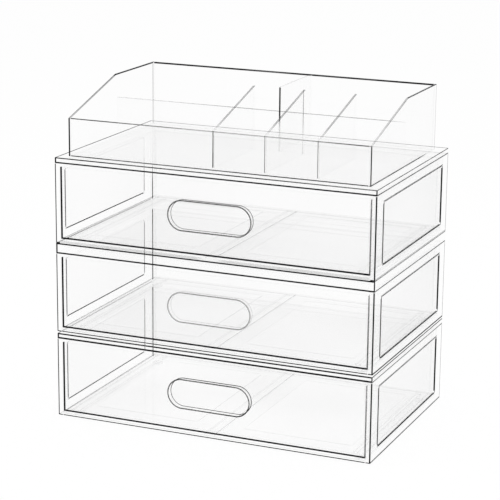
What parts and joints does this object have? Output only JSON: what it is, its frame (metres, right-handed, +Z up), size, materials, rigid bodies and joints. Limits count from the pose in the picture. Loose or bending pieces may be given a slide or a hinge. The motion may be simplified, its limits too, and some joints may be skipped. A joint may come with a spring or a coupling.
{
  "type": "makeup organizer with drawers",
  "caption": "Clear acrylic makeup organizer: stacked drawer tiers with finger-hole drawer fronts, and an open sloped tray with dividers on top.",
  "frame": {"origin": "on the resting surface, under the middle of the casings", "axes": "+X to the right as seen from the front, +Y to the back, +Z up; the drawers open along -Y"},
  "size_m": [0.3014, 0.1951, 0.3012],
  "materials": {
    "clear_acrylic": "clear polished acrylic",
    "clear_pad": "clear soft plastic, satin"
  },
  "bodies": {
    "bottom_case": {"bottom_feet": "clear_pad", "bottom_floor": "clear_acrylic", "bottom_runners": "clear_acrylic", "bottom_left_side": "clear_acrylic", "bottom_right_side": "clear_acrylic", "bottom_back": "clear_acrylic", "bottom_lid": "clear_acrylic"},
    "bottom_drawer": {"bottom_drawer_front": "clear_acrylic", "bottom_drawer_floor": "clear_acrylic", "bottom_drawer_left": "clear_acrylic", "bottom_drawer_right": "clear_acrylic", "bottom_drawer_back": "clear_acrylic"},
    "middle_case": {"middle_feet": "clear_pad", "middle_floor": "clear_acrylic", "middle_runners": "clear_acrylic", "middle_left_side": "clear_acrylic", "middle_right_side": "clear_acrylic", "middle_back": "clear_acrylic", "middle_lid": "clear_acrylic"},
    "middle_drawer": {"middle_drawer_front": "clear_acrylic", "middle_drawer_floor": "clear_acrylic", "middle_drawer_left": "clear_acrylic", "middle_drawer_right": "clear_acrylic", "middle_drawer_back": "clear_acrylic"},
    "top_case": {"top_floor": "clear_acrylic", "top_runners": "clear_acrylic", "top_left_side": "clear_acrylic", "top_right_side": "clear_acrylic", "top_back": "clear_acrylic", "top_lid": "clear_acrylic"},
    "top_drawer": {"top_drawer_front": "clear_acrylic", "top_drawer_floor": "clear_acrylic", "top_drawer_left": "clear_acrylic", "top_drawer_right": "clear_acrylic", "top_drawer_back": "clear_acrylic"},
    "tray": {"tray_floor": "clear_acrylic", "tray_front": "clear_acrylic", "tray_back": "clear_acrylic", "tray_left": "clear_acrylic", "tray_right": "clear_acrylic", "tray_partition": "clear_acrylic", "tray_divider_left": "clear_acrylic", "tray_divider_middle": "clear_acrylic", "tray_divider_right": "clear_acrylic", "tray_rear_divider": "clear_acrylic"}
  },
  "joints": [
    {"name": "bottom_drawer_slide", "type": "slide", "parent": "bottom_case", "child": "bottom_drawer", "axis": [0, -1, 0], "range_m": [0, 0.165]},
    {"name": "middle_drawer_slide", "type": "slide", "parent": "middle_case", "child": "middle_drawer", "axis": [0, -1, 0], "range_m": [0, 0.165]},
    {"name": "top_drawer_slide", "type": "slide", "parent": "top_case", "child": "top_drawer", "axis": [0, -1, 0], "range_m": [0, 0.165]},
    {"name": "middle_tier_lift", "type": "slide", "parent": "bottom_case", "child": "middle_case", "axis": [0, 0, 1], "range_m": [0, 0.06]},
    {"name": "top_tier_lift", "type": "slide", "parent": "middle_case", "child": "top_case", "axis": [0, 0, 1], "range_m": [0, 0.06]},
    {"name": "tray_lift", "type": "slide", "parent": "top_case", "child": "tray", "axis": [0, 0, 1], "range_m": [0, 0.06]}
  ]
}
